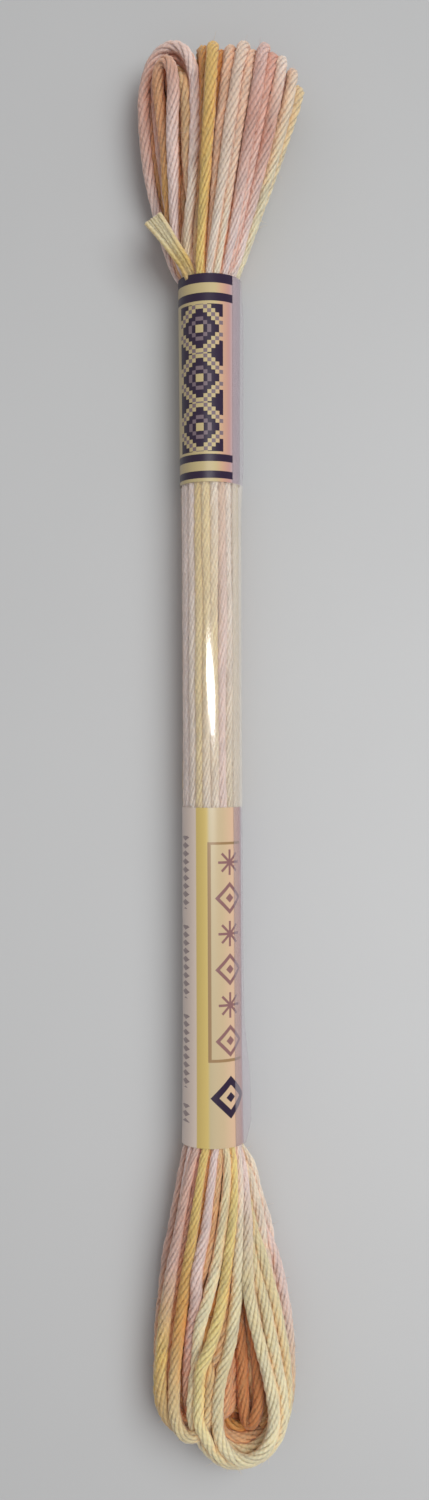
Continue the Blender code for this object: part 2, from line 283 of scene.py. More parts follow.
LOWER_TURNS = {
    "lower_loops": (
        Turn(2.9, 38.0, 4.9, 5.55, -3, 1.9, 0.4, -10, 64, 1.0,
             "straw straw straw straw ivory ivory ivory straw tan"),
        Turn(3.1, 37.4, 5.9, 4.8, -2, 2.5, 0.4, -2, 45, 1.0,
             "straw straw straw ivory ivory maize yellow yellow gold"),
        Turn(3.65, 36.9, 6.6, 4.0, 0, 3.8, 0.5, 12, 27, 1.0,
             "rose pink straw ivory ivory straw ivory cream pink"),
        Turn(3.5, 36.4, 5.2, 4.4, -2, 3.0, 0.45, 20, 36, 0.8, "tan tan straw straw tan amber amber"),
        Turn(4.0, 37.0, 2.6, 5.0, -6, 1.2, 0.5, 352, 300, 1.0, "straw blush ivory cream pink"),
        Turn(4.1, 36.0, 3.6, 5.0, -4, 1.2, 0.5, 340, 300, 0.8, "cream pink pink tan clay tan cream cream"),
        Turn(3.2, 35.4, 3.9, 4.5, 0, 1.8, 0.5, 2, 285, 0.8, "cream tan clay clay"),
        Turn(-1.0, 34.3, 4.4, 2.0, 0, 1.6, 0.5, 270, 81, 1.0,
             "amber clay clay clay clay rose pink pink pink"),
        Turn(6.0, 34.0, 3.2, 1.8, 0, 1.0, 0.5, 345, 312, 0.8, "ivory cream cream clay clay clay"),
        Turn(5.8, 33.0, 2.0, 1.6, 0, 1.0, 0.5, 325, 290, 0.8, "cream tan clay clay"),
    ),
    "lower_side_loops": (
        Turn(-2.7, 34.6, 5.4, 2.3, 6, 1.5, 0.6, 250, 105, 1.0, "tan tan amber straw amber gold gold"),
        Turn(-3.4, 34.2, 4.8, 3.0, 6, 1.0, 0.6, 240, 125, 1.0,
             "tan amber amber amber tan gold mauve rose mauve"),
        Turn(-3.6, 34.9, 3.4, 3.1, 4, 1.5, 0.6, 250, 146, 1.0, "tan amber tan tan gold tan pink pink"),
        Turn(-3.6, 34.3, 1.9, 3.1, 2, 1.1, 0.6, 268, 170, 1.0, "amber gold amber mauve mauve"),
        Turn(-2.9, 33.2, 4.2, 2.5, 6, 1.2, 0.6, 255, 115, 0.82, "amber amber clay clay clay rose rose"),
        Turn(-1.9, 33.2, 4.0, 2.2, 4, 1.5, 0.55, 262, 93, 0.82, "amber amber clay clay amber amber tan"),
        Turn(-0.2, 33.0, 4.0, 2.5, 0, 1.6, 0.5, 280, 73, 0.94, "amber clay clay clay clay tan tan"),
        Turn(-2.8, 33.4, 3.0, 2.2, 4, 1.2, 0.6, 235, 195, 0.8, "amber clay amber"),
        Turn(-1.4, 33.8, 2.6, 2.4, 4, 1.4, 0.6, 235, 200, 0.6, "amber clay amber amber"),
        Turn(-0.9, 33.2, 1.6, 2.4, 4, 1.2, 0.6, 280, 210, 0.5, "amber clay clay amber"),
    ),
    "lower_inner_loops": (
        Turn(2.6, 35.4, 2.1, 4.3, 0, 1.2, 0.6, 334, 232, 1.0, "amber rust amber tan"),
        Turn(2.7, 34.3, 3.0, 4.1, 0, 1.2, 0.6, 334, 245, 0.7, "rust amber amber tan"),
        Turn(2.8, 33.2, 2.1, 3.9, 4, 1.4, 0.6, 330, 260, 0.7, "amber tan amber rust"),
        Turn(2.9, 32.1, 3.0, 3.7, -4, 1.4, 0.6, 318, 214, 0.5, "tan amber rust"),
        Turn(2.9, 31.0, 2.1, 3.4, 4, 1.6, 0.6, 320, 250, 0.4, "amber amber rust"),
        Turn(2.9, 29.9, 2.9, 3.2, 4, 1.6, 0.6, 320, 270, 0.3, "rust amber rust"),
        Turn(3.0, 33.5, 0.9, 0.9, 0, 1.0, 0.6, 270, 275, 0.3, "rust amber rust"),
        Turn(3.0, 34.6, 0.9, 2.5, 0, 1.0, 0.6, 290, 250, 0.5, "rust amber rust rust"),
        Turn(3.0, 35.6, 0.95, 4.0, 0, 1.0, 0.6, 310, 230, 0.8, "rust rust amber"),
        Turn(4.6, 34.4, 4.5, 0.85, 0, 1.5, 0.5, 300, 290, 0.6, "rust rust rust rust"),
        Turn(5.7, 34.4, 4.4, 0.5, 0, 1.2, 0.5, 310, 300, 0.6, "tan amber tan amber"),
        Turn(3.0, 34.9, 2.9, 1.4, 0, 1.0, 0.6, 270, 275, 0.5, "rust rust rust"),
    ),
}

# Dyes of the runs around the bundle behind the window, counter-clockwise from its right side
WINDOW_DYES = (
    "pale pale lemon", "pale pale pale", "lemon pale pale", "blush blush peach",
    "pale butter pale", "pale butter butter", "butter butter yellow", "pale pale shell",
    "shell shell shell", "shell shell shell", "tan peach rose", "amber tan gold",
    "cream pink cream", "gold tan gold", "rose pink cream", "tan gold tan",
    "pink cream pink", "amber tan amber", "lemon cream tan", "pink rose pink",
)

NAVY = srgb(34, 14, 48)
GREY_INK = srgb(112, 98, 106)
FAINT_INK = srgb(138, 124, 124)
OLIVE_INK = srgb(146, 118, 82)
MAUVE_INK = srgb(130, 94, 94)
LILAC = srgb(178, 168, 178)
HAZE = srgb(236, 226, 208)
CLEAR = srgb(232, 214, 200)
TABLE_LIT = (0.566, 0.586, 0.597)
TABLE_FAR = (0.0, 0.0, 0.0)

# Ground colours of the prints: the place around the film from its top line, and the colour
UPPER_GROUND = (
    # The upper ground runs yellow, peach, pink and lilac round the film; its greyer, darker left end is
    # painted shade
    (-5.4, srgb(170, 156, 122)),
    (-2.0, srgb(180, 166, 122)),
    (0.7, srgb(184, 168, 124)),
    (1.5, srgb(190, 152, 124)),
    (2.4, srgb(180, 138, 132)),
    (3.0, srgb(176, 158, 162)),
    (5.4, srgb(176, 170, 176)),
)
LOWER_GROUND = (
    (-5.4, srgb(200, 186, 178)),
    (-1.95, srgb(208, 194, 182)),
    (-1.85, srgb(194, 172, 102)),
    (-0.55, srgb(198, 176, 106)),
    (-0.25, srgb(184, 170, 134)),
    (1.3, srgb(190, 170, 136)),
    (2.6, srgb(206, 174, 144)),
    (4.2, srgb(196, 154, 142)),
    (5.2, srgb(182, 166, 172)),
)
GROUND_HALF = 6.0

# Upper print: rules across the skein, and a column of stitched lozenges in a zone along it
UPPER_INK_END = 2.95
UPPER_RULES = ((27.0, 27.85), (28.95, 29.8), (47.55, 48.5), (49.65, 51.0))
STITCH = 0.46
COLUMN_ZONE = (30.1, 47.2)
COLUMN_MIDDLE = -1.15
COLUMN_HALF = 2.9
COLUMN_PITCH = 5.7
LOZENGE_REACH = 2.7
LOZENGE_RING = (1.2, 1.7)
LOZENGE_EYE = 0.6
LOZENGE_BORDER = (3.0, 3.5)
CORNER_START = 3.9

# Lower print: a line border round stars and small lozenges by turns, a big lozenge, and tiny diamonds
BORDER_SIDE = (-0.48, -0.08)
BORDER_ACROSS = (-0.48, 4.2)
BORDER_ALONG = (-40.7, -15.2)
BORDER_ENDS = ((-40.75, -40.4), (-15.5, -15.2))
MOTIF_MIDDLE = 2.25
MOTIF_START = -40.4
MOTIF_PITCH = 4.15
MOTIF_ZONE = (-40.2, -15.7)
ARM_HALF = 0.15
DIAGONAL_ARM_HALF = 0.21
STAR_RADIUS_SQUARED = 2.2
SMALL_LOZENGE = 1.6
SMALL_LOZENGE_LINE = 0.28
SMALL_LOZENGE_EYE = 0.55
BIG_LOZENGE_AT = -44.9
BIG_LOZENGE = (1.45, 2.5)
BIG_LOZENGE_EYE = 0.6
DIAMONDS_AT = -3.75
DIAMOND_PITCH = 0.95
DIAMOND_SLOPES = (1.2, 2.6)
DIAMOND_GROUP_START = -2.2
DIAMOND_GROUP_PITCH = 10.45
DIAMOND_GROUP_LENGTH = 8.55
DIAMOND_ZONE = (-48.0, -13.0)

# Camera, straight above the skein: its place, its turn in degrees, its lens and its nearest view in metres
CAMERA_PLACE = (0.4, -4.52, 170)
CAMERA_TURN_DEG = -0.25
CAMERA_SENSOR = 36
CAMERA_LENS = 33.85
CAMERA_NEAR = 0.005

# Lamps aimed at the middle of the table, in metres and watts, and the light of the room
Lamp = namedtuple("Lamp", "name shape place size power colour turn_deg")
KEY = Lamp("key", "SQUARE", (0.44, 0.24, 0.82), (0.70, 0.70), 7.7, (0.985, 0.99, 0.98), 0)
SHINE = Lamp("shine", "ELLIPSE", (0.0, 0.030, 0.60), (0.38, 0.043), 1.3, (1, 1, 1), -4)
ROOM_COLOUR = (1.0, 0.93, 0.915, 1)
ROOM_STRENGTH = 0.48

# Table: where its light is strongest, in metres, and how it falls off from there
TABLE_SIZE = 3
LIT_MIDDLE = (0.06, -0.03)
FALLOFF = 34.0
FALLOFF_LIMIT = 90.0
TABLE_GRAIN = 0.03


def smooth(t):
    """Smooth step from 0 to 1."""
    t = np.clip(t, 0, 1)
    return t * t * (3 - 2 * t)


def thread_radius(along):
    """Radius of the thread: packed in the sleeve, full once it has left it."""
    return PACKED_RADIUS + (LOOSE_RADIUS - PACKED_RADIUS) * smooth(along / FULL_AT)


def limb_point(turn, u, side, seat_deg, bend_start):
    """A point (x, along, z) at share u of the way to the bend; side is 1 or -1 on a limb, 0 between them."""
    roll = math.radians(turn.roll)
    along = u * turn.reach
    opened = min(1.0, max(0.0, u / bend_start)) ** turn.part
    spread = side * turn.half * math.sin(opened * math.pi / 2)
    swell = 1 + (MOUTH_SWELL - 1) * smooth(along / SWELL_LENGTH)
    seat = turn.ring * (BUNDLE_RADIUS - PACKED_RADIUS) * swell
    gone = max(0.0, u) ** turn.bow
    risen = smooth(u / SETTLED_AT)
    seat_x = seat * math.cos(math.radians(seat_deg))
    seat_z = seat * math.sin(math.radians(seat_deg))
    x = turn.tip_x * gone + seat_x * (1 - gone) + spread * math.cos(roll)
    z = AXIS_HEIGHT + (turn.height - AXIS_HEIGHT) * risen + seat_z * (1 - risen) + spread * math.sin(roll)
    return x, along, z


def place_turn(turn):
    """Centre line of a turn: out of the mouth along one limb, round the bend and back."""
    bend_start = 1 - BEND_PER_HALF * turn.half / turn.reach
    shares = np.linspace(-ROOT_INSET / turn.reach, bend_start, LIMB_POINTS, endpoint=False)
    roll = math.radians(turn.roll)
    points = [limb_point(turn, u, 1, turn.out, bend_start) for u in shares]
    for angle in np.linspace(0, math.pi, BEND_POINTS):
        u = bend_start + (1 - bend_start) * math.sin(angle)
        seat_deg = turn.out if angle < math.pi / 2 else turn.back
        x, along, z = limb_point(turn, u, 0, seat_deg, bend_start)
        spread = turn.half * math.cos(angle)
        points.append((x + spread * math.cos(roll), along, z + spread * math.sin(roll)))
    points += [limb_point(turn, u, -1, turn.back, bend_start) for u in reversed(shares)]
    return np.array(points)


def distances_along(line):
    """How far along a line each of its points is."""
    return np.r_[0, np.cumsum(np.linalg.norm(np.diff(line, axis=0), axis=1))]


def even_steps(line, step):
    """The same line with evenly spaced points."""
    lengths = distances_along(line)
    at = np.linspace(0, lengths[-1], int(round(lengths[-1] / step)) + 1)
    return np.stack([np.interp(at, lengths, axis) for axis in line.T], 1)


def knots_below(knots, count):
    """For places spread evenly over some knots: the knot below each, and how far it is to the next."""
    at = np.linspace(0, knots - 1, count)
    low = np.minimum(at.astype(int), knots - 2)
    return low, at - low


def wander(waver, count, length, rng):
    """A gentle random walk around 0, at evenly spaced places along a line of that length."""
    knots = int(length / waver.wave) + 3
    values = np.array([rng.uniform(-1, 1) for _ in range(knots)])
    low, share = knots_below(knots, count)
    share = smooth(share)
    return waver.amount * (values[low] * (1 - share) + values[low + 1] * share)


def dye_line(names, count):
    """Colours along a strand: the named dyes evenly spaced, blended from one to the next."""
    dyes = np.array([DYES[name] for name in names.split()])
    low, share = knots_below(len(dyes), count)
    share = share[:, None]
    return dyes[low] * (1 - share) + dyes[low + 1] * share


def close_pairs(points, radius, owner, order):
    """Index pairs of points on different runs that are near enough to touch soon."""
    first = []
    second = []
    for i in range(len(points)):
        apart = points[i + 1:] - points[i]
        close = (apart**2).sum(1) < (radius[i] * 2 + SEARCH_MARGIN) ** 2
        same_run = (owner[i + 1:] == owner[i]) & (order[i + 1:] - order[i] < SAME_STRETCH)
        found = np.nonzero(close & ~same_run)[0] + i + 1
        first.append(np.full(len(found), i))
        second.append(found)
    return np.concatenate(first), np.concatenate(second)


def moves_apart(points, radius, first, second):
    """The move that would part each point from those it runs into, averaged over them."""
    apart = points[first] - points[second]
    distance = np.sqrt((apart**2).sum(1)) + TINY
    overlap = np.clip((radius[first] + radius[second]) * TOUCH - distance, 0, None)
    push = apart * (overlap / distance)[:, None]
    count = len(points)
    hits = np.bincount(first, overlap > 0, count) + np.bincount(second, overlap > 0, count)
    moves = [np.bincount(first, axis, count) - np.bincount(second, axis, count) for axis in push.T]
    return np.stack(moves, 1) / np.maximum(1, hits)[:, None]


def settle(lines):
    """Push apart the turns that run through one another, on the table or above it, and keep them smooth."""
    lines = [even_steps(line, SETTLE_STEP) for line in lines]
    start = np.concatenate(lines)
    owner = np.concatenate([np.full(len(line), i) for i, line in enumerate(lines)])
    order = np.concatenate([np.arange(len(line)) for line in lines])
    radius = thread_radius(start[:, 1])
    free = np.clip((start[:, 1] - HELD_UP_TO) / FREE_LENGTH, 0, 1)[:, None]
    ends = np.cumsum([len(line) for line in lines])[:-1]
    moved = start.copy()
    for count in range(SETTLE_ROUNDS):
        if count % SEARCH_EVERY == 0:
            pairs = close_pairs(moved, radius, owner, order)
        moves = moves_apart(moved, radius, *pairs)
        moves[:, 1] *= PUSH_ALONG
        moved += PUSH * moves * free + KEEP_PLACE * (start - moved) * free
        moved[:, 2] = np.maximum(moved[:, 2], radius)
        for line in np.split(moved, ends):
            line[1:-1] += EVEN_OUT * (line[:-2] + line[2:] - 2 * line[1:-1])
        moved = start + (moved - start) * free
    return np.split(moved, ends)


def smooth_line(line):
    """A rounded line through the same points, with steps of RING_STEP."""
    tangents = np.gradient(line, axis=0)
    fine = []
    for a, b, from_a, to_b in zip(line[:-1], line[1:], tangents[:-1], tangents[1:]):
        for t in (0, 0.25, 0.5, 0.75):
            fine.append(
                (2 * t**3 - 3 * t**2 + 1) * a + (t**3 - 2 * t**2 + t) * from_a
                + (3 * t**2 - 2 * t**3) * b + (t**3 - t**2) * to_b
            )
    fine.append(line[-1])
    return even_steps(np.array(fine), RING_STEP)


def sway(line, rng):
    """The line with a slight sway that starts at the mouth; on the table it sinks in by very little."""
    count = len(line)
    swing = np.stack([wander(STRAND_SWAY, count, count * RING_STEP, rng) for _ in range(3)], 1)
    grown = np.clip(line[:, 1] / SWAY_START, 0, 1)
    swayed = line + swing * (SWAY_WIDTH * grown * np.sin(np.pi * np.linspace(0, 1, count)))[:, None]
    swayed[:, 2] = np.maximum(swayed[:, 2], thread_radius(line[:, 1]) * SUNK)
    return swayed


def tangents_along(line):
    """The unit tangent at each point of a line."""
    tangents = np.gradient(line, axis=0)
    return tangents / np.linalg.norm(tangents, axis=1)[:, None]


def normals_along(line):
    """Two steady unit normals at each point of a line, square to it and to each other."""
    tangents = tangents_along(line)
    normal = np.array([0.0, 0.0, 1.0])
    normals = []
    for tangent in tangents:
        normal = normal - tangent * normal.dot(tangent)
        normal = normal / np.linalg.norm(normal)
        normals.append(normal)
    normals = np.array(normals)
    return normals, np.cross(tangents, normals)


def strand_neighbours(index, lines, radii):
    """At each point of a line: the directions to the nearest points of other lines, and their nearness."""
    line = lines[index]
    others = np.concatenate(lines[:index] + lines[index + 1:])
    other_radii = np.concatenate(radii[:index] + radii[index + 1:])
    directions = np.zeros((len(line), NEIGHBOURS, 3))
    weights = np.zeros((len(line), NEIGHBOURS))
    for start in range(0, len(line), BLOCK):
        block = slice(start, start + BLOCK)
        apart = others[None] - line[block, None]
        distance = np.sqrt((apart**2).sum(2)) + TINY
        touching = other_radii[None] + radii[index][block, None]
        near = np.clip(NEIGHBOUR_END - distance / touching, 0, NEIGHBOUR_RANGE) / NEIGHBOUR_RANGE
        nearest = np.argsort(-near, axis=1)[:, :NEIGHBOURS]
        rows = np.arange(len(apart))[:, None]
        directions[block] = apart[rows, nearest] / distance[rows, nearest][:, :, None]
        weights[block] = near[rows, nearest]
    return directions, weights


def paint_groove_shade(dyes, points, middle, neighbours):
    """Colours for the points of a ply, with painted warm bounce light and shade where they face another
    strand that lies close.
    """
    facing = points - middle[:, None, :]
    facing /= np.linalg.norm(facing, axis=2)[:, :, None] + TINY
    directions, weights = neighbours
    cover = np.einsum("nsk,nmk->nsm", facing, directions) * weights[:, None, :]
    share = smooth((cover.max(2) - PAINTED_SHADE_FROM) / PAINTED_SHADE_RANGE)[:, :, None]
    return dyes[:, None, :] * (1 - share + share * GROOVE_PAINTED_SHADE)


def painted_light_along(along, piece):
    """Painted light and shade for each point of a strand, from how far it is from the mouth: lighter near
    it, darker and pinker towards the fan's bends.
    """
    near = np.clip(1 - along / MOUTH_PAINTED_LIGHT_LENGTH, 0, 1)[:, None]
    far = np.clip((along - BEND_PAINTED_SHADE_START) / BEND_PAINTED_SHADE_LENGTH, 0, 1)[:, None]
    return 1 + near * (MOUTH_PAINTED_LIGHT - 1) + far * (BEND_PAINTED_SHADE.get(piece, 1.0) - 1)


def ring_quads(rings, sides):
    """Faces between each ring of points and the next."""
    rows = np.arange(rings - 1)[:, None] * sides
    here = np.arange(sides)[None, :]
    beside = (here + 1) % sides
    corners = (rows + here, rows + beside, rows + sides + beside, rows + sides + here)
    return np.stack(corners, 2).reshape(-1, 4)


def ring_uvs(along, sides):
    """UVs of those faces: 0 to 1 around, and the distance along the thread."""
    shape = (len(along) - 1, sides)
    low = np.broadcast_to(along[:-1, None], shape)
    high = np.broadcast_to(along[1:, None], shape)
    left = np.broadcast_to(np.arange(sides) / sides, shape)
    right = left + 1 / sides
    corners = ((left, low), (right, low), (right, high), (left, high))
    return np.stack([np.stack(corner, 2) for corner in corners], 2).reshape(-1, 2)


def add_object(name, data):
    """A new object in the scene."""
    made = bpy.data.objects.new(name, data)
    bpy.context.scene.collection.objects.link(made)
    return made


def add_piece(name, mesh, material):
    """A smooth-shaded piece of one material."""
    mesh.shade_smooth()
    mesh.materials.append(material)
    return add_object(name, mesh)


class MeshParts:
    """Points, faces, UVs and dyes of many tubes, gathered for one mesh."""

    def __init__(self):
        self.points = []
        self.faces = []
        self.uvs = []
        self.dyes = []
        self.count = 0

    def tube(self, centres, radii, dyes, along, sides=PLY_SIDES, middle=None, neighbours=None):
        """A round tube with open ends; middle is its strand's line, and neighbours what lies round it, for
        the painted groove shade.
        """
        normals, binormals = normals_along(centres)
        angles = 2 * np.pi * np.arange(sides) / sides
        ring = (
            normals[:, None, :] * np.cos(angles)[None, :, None]
            + binormals[:, None, :] * np.sin(angles)[None, :, None]
        )
        points = centres[:, None, :] + ring * radii[:, None, None]
        points[:, :, 2] = np.maximum(points[:, :, 2], 0)
        if neighbours is None:
            dyes = np.repeat(dyes[:, None], sides, axis=1)
        else:
            # painted warm bounce light and shade where a ply faces a neighbouring strand
            dyes = paint_groove_shade(dyes, points, middle, neighbours)
        self.points.append(points.reshape(-1, 3))
        self.faces.append(ring_quads(len(centres), sides) + self.count)
        self.uvs.append(ring_uvs(along, sides))
        self.dyes.append(dyes.reshape(-1, 3))
        self.count += len(centres) * sides

    def build(self, name, material):
        """One piece in metres from all the tubes."""
        points = np.concatenate(self.points) * MM
        faces = np.concatenate(self.faces)
        colours = np.concatenate(self.dyes)
        colours = np.concatenate([colours, np.ones((len(colours), 1))], 1)
        mesh = bpy.data.meshes.new(name)
        mesh.from_pydata(points.tolist(), [], faces.tolist())
        uv = mesh.uv_layers.new(name="thread")
        uv.uv.foreach_set("vector", np.concatenate(self.uvs).astype(np.float32).ravel())
        dye = mesh.color_attributes.new("dye", "FLOAT_COLOR", "POINT")
        dye.data.foreach_set("color", colours.astype(np.float32).ravel())
        mesh.validate()
        return add_piece(name, mesh, material)


def add_strand(parts, line, radii, dyes, rng, neighbours=None):
    """One six-ply strand along a line: plies that wind round one another, each a little out of place."""
    normals, binormals = normals_along(line)
    along = distances_along(line)
    wavering = partial(wander, count=len(line), length=along[-1], rng=rng)
    phase = rng.uniform(0, 2 * math.pi)
    pitch = TWIST_PITCH * rng.uniform(*TWIST_SPREAD)
    flatness = 1 + wavering(STRAND_FLATNESS)
    for ply in range(PLIES):
        angle = phase + 2 * math.pi * ply / PLIES + 2 * math.pi * along / pitch
        angle = angle + wavering(PLY_TURN)
        orbit = radii * PLY_ORBIT * (1 + wavering(PLY_DISTANCE))
        across = normals * (orbit * flatness * np.cos(angle))[:, None]
        up = binormals * (orbit / flatness * np.sin(angle))[:, None]
        tint = 1 + wavering(PLY_SHADE)
        shade = dyes * tint[:, None] * rng.uniform(*SHADE_SPREAD)
        parts.tube(
            line + (across + up), radii * PLY_SIZE, shade, along + ply * RELIEF_SHIFT,
            middle=line, neighbours=neighbours,
        )


def add_hairs(parts, line, radii, dyes, rng):
    """Short loose fibres that stand off a strand."""
    tangents = tangents_along(line)
    normals, binormals = normals_along(line)
    steps = np.linspace(0, 1, HAIR_RINGS)
    thickness = HAIR_RADIUS * (1 - HAIR_TAPER * steps)
    for _ in range(int(len(line) * RING_STEP * HAIRS_PER_MM)):
        at = rng.randrange(2, len(line) - 2)
        turn = rng.uniform(0, 2 * math.pi)
        outward = normals[at] * math.cos(turn) + binormals[at] * math.sin(turn)
        lean = tangents[at] * rng.uniform(-HAIR_LEAN, HAIR_LEAN)
        curl = np.array([rng.uniform(-HAIR_CURL, HAIR_CURL) for _ in range(3)])
        length = rng.uniform(*HAIR_LENGTH)
        reach = (outward + lean) / np.linalg.norm(outward + lean)
        root = line[at] + outward * radii[at] * HAIR_ROOT
        centres = root + (steps[:, None] * reach + steps[:, None] ** 2 * curl) * length
        centres[:, 2] = np.maximum(centres[:, 2], HAIR_FLOOR)
        if np.abs(centres[:, 1]).min() < SLEEVE_HALF + HAIR_CLEAR:
            continue
        parts.tube(centres, thickness, np.repeat(dyes[at:at + 1], HAIR_RINGS, 0), steps, sides=HAIR_SIDES)


def flare(groups, end, material, seed):
    """The turns of one flare, one piece for each group; end is 1 in the upper flare and -1 in the lower."""
    rng = random.Random(seed)
    turns = [(name, turn) for name, group in groups.items() for turn in group]
    settled = settle([place_turn(turn) for _, turn in turns])
    lines = [sway(smooth_line(line), rng) for line in settled]
    lines = [np.stack([line[:, 0], end * (SLEEVE_HALF + line[:, 1]), line[:, 2]], 1) for line in lines]
    alongs = [end * line[:, 1] - SLEEVE_HALF for line in lines]
    radii = [thread_radius(along) for along in alongs]
    parts = {name: MeshParts() for name in groups}
    for i, (name, turn) in enumerate(turns):
        # painted light near the mouth, painted shade round the bends of the fan
        dyes = dye_line(turn.dyes, len(lines[i])) * painted_light_along(alongs[i], name)
        # the neighbours give each ply its painted groove shade
        add_strand(parts[name], lines[i], radii[i], dyes, rng, strand_neighbours(i, lines, radii))
        add_hairs(parts[name], lines[i], radii[i], dyes, rng)
    return [gathered.build(name, material) for name, gathered in parts.items()]


def make_core(material):
    """The hidden runs behind the outer strands, so that no light shows through the bundle."""
    parts = MeshParts()
    half = SLEEVE_HALF + CORE_OUT
    ys = np.linspace(-half, half, CORE_RINGS)
    line = np.stack([0 * ys, ys, 0 * ys + AXIS_HEIGHT], 1)
    taper = np.clip((half - np.abs(ys)) / CORE_TAPER, CORE_LEAST, 1)
    parts.tube(line, CORE_RADIUS * taper, dye_line("amber tan amber", len(ys)), ys, sides=CORE_SIDES)
    return parts.build("hidden_runs", material)


def make_window_runs(material, seed):
    """The outer runs of thread that show through the clear film."""
    rng = random.Random(seed)
    parts = MeshParts()
    ys = np.arange(LOWER_PRINT[1] - RUN_OVERLAP, UPPER_PRINT[0] + RUN_OVERLAP, RING_STEP)
    wavering = partial(wander, count=len(ys), length=ys[-1] - ys[0], rng=rng)
    radii = np.full(len(ys), PACKED_RADIUS + RUN_EXTRA)
    for i, dyes in enumerate(WINDOW_DYES):
        angle = 2 * math.pi * (i + 0.5) / len(WINDOW_DYES) + wavering(RUN_TURN)
        reach = BUNDLE_RADIUS - PACKED_RADIUS - RUN_GAP + wavering(RUN_DISTANCE)
        line = np.stack([reach * np.cos(angle), ys, AXIS_HEIGHT + reach * np.sin(angle)], 1)
        line[:, 2] = np.maximum(line[:, 2], PACKED_RADIUS + RUN_FLOOR)
        add_strand(parts, line, radii, dye_line(dyes, len(ys)), rng)
    return parts.build("window_runs", material)


def make_loose_end(material, seed):
    """The cut end: the strand flattens and its plies spread a little where it was cut."""
    rng = random.Random(seed)
    parts = MeshParts()
    line = smooth_line(even_steps(np.array(LOOSE_END), CUT_STEP))
    line[:, 1] += SLEEVE_HALF
    count = len(line)
    dyes = dye_line("amber tan gold straw straw", count) * CUT_SHADE
    tangents = tangents_along(line)
    across = np.cross(tangents, (0, 0, 1))
    across /= np.linalg.norm(across, axis=1)[:, None]
    above = np.cross(across, tangents)
    share = np.linspace(0, 1, count)
    half = CUT_HALF + CUT_SPREAD * share**2
    radii = np.r_[np.full(count, CUT_PLY_RADIUS), CUT_TIP_RADII]
    for ply in range(PLIES):
        at = (ply + 0.5) / PLIES * 2 - 1
        lift = CUT_LOOSE * math.cos(ply * CUT_LOOSE_TURN) * (1 - share / 2)
        centres = line + across * (half * at)[:, None] + above * lift[:, None]
        centres = centres + above * wander(CUT_LIFT, count, CUT_LENGTH, rng)[:, None]
        tips = centres[-1] + (centres[-1] - centres[-2]) * CUT_TIPS[:, None]
        centres = np.concatenate([centres, tips])
        shade = np.concatenate([dyes, dyes[-2:]]) * rng.uniform(*CUT_SHADE_SPREAD)
        parts.tube(centres, radii, shade, np.arange(len(centres)) * RING_STEP)
    return parts.build("cut_end", material)


def station_at(y):
    """The sleeve's width and lip at a place along it, between the table's stations."""
    ys, widens, lips = zip(*STATIONS)
    return np.interp(y, ys, widens), np.interp(y, ys, lips)


def film_point(y, angle, radius, floor):
    """A point of the film in metres, at an angle and a distance from the axis, no lower than the floor."""
    widen, _ = station_at(y)
    x = (radius + widen * abs(math.cos(angle))) * math.cos(angle)
    z = max(AXIS_HEIGHT + radius * math.sin(angle), floor)
    return x * MM, y * MM, z * MM


def film_tube(name, ends, material, rows):
    """A length of the film: a thin tube with a real wall, and a UV map in mm from its top line."""
    ys = np.linspace(*ends, rows)
    rings = [(y, 0.0) for y in ys] + [(y, FILM_THICK) for y in reversed(ys)]
    points = []
    for y, depth in rings:
        for k in range(FILM_POINTS):
            angle = math.pi / 2 - 2 * math.pi * k / FILM_POINTS
            points.append(film_point(y, angle, SLEEVE_RADIUS - depth, depth))
    faces = []
    uvs = []
    for r in range(len(rings)):
        following = (r + 1) % len(rings)
        for k in range(FILM_POINTS):
            corners = ((r, k), (following, k), (following, k + 1), (r, k + 1))
            faces.append([ring * FILM_POINTS + column % FILM_POINTS for ring, column in corners])
            lap = 1 if k >= FILM_POINTS / 2 else 0
            for ring, column in corners:
                uvs.append(((column / FILM_POINTS - lap) * 2 * math.pi * SLEEVE_RADIUS, rings[ring][0]))
    mesh = bpy.data.meshes.new(name)
    mesh.from_pydata(points, [], faces)
    layer = mesh.uv_layers.new(name="film")
    for loop, uv in zip(layer.uv, uvs):
        loop.vector = uv
    piece = add_piece(name, mesh, material)
    mesh.set_sharp_from_angle(angle=math.radians(FILM_SHARP_DEG))
    return piece


def film_edge(name, material):
    """The film's free edge on the right: it stands off the tube by the stations' lip."""
    points = []
    for depth in (0.0, FILM_THICK):
        for y in np.linspace(-SLEEVE_HALF, SLEEVE_HALF, EDGE_ROWS):
            _, lip = station_at(y)
            for t in np.linspace(0, 1, EDGE_COLUMNS):
                angle = math.radians(EDGE_ROOT_DEG + (EDGE_TIP_DEG - EDGE_ROOT_DEG) * t)
                radius = SLEEVE_RADIUS + EDGE_GAP + lip * smooth(t) - depth
                points.append(film_point(y, angle, radius, depth))
    side = EDGE_ROWS * EDGE_COLUMNS
    grid = np.arange(side).reshape(EDGE_ROWS, EDGE_COLUMNS)
    faces = []
    for a in grid[:-1, :-1].ravel().tolist():
        b = a + EDGE_COLUMNS
        faces.append((a, a + 1, b + 1, b))
        faces.append((side + a, side + b, side + b + 1, side + a + 1))
    rim = np.concatenate((grid[0], grid[1:, -1], grid[-1, -2::-1], grid[-2:0:-1, 0])).tolist()
    for a, b in zip(rim, rim[1:] + rim[:1]):
        faces.append((b, a, side + a, side + b))
    mesh = bpy.data.meshes.new(name)
    mesh.from_pydata(points, [], faces)
    return add_piece(name, mesh, material)


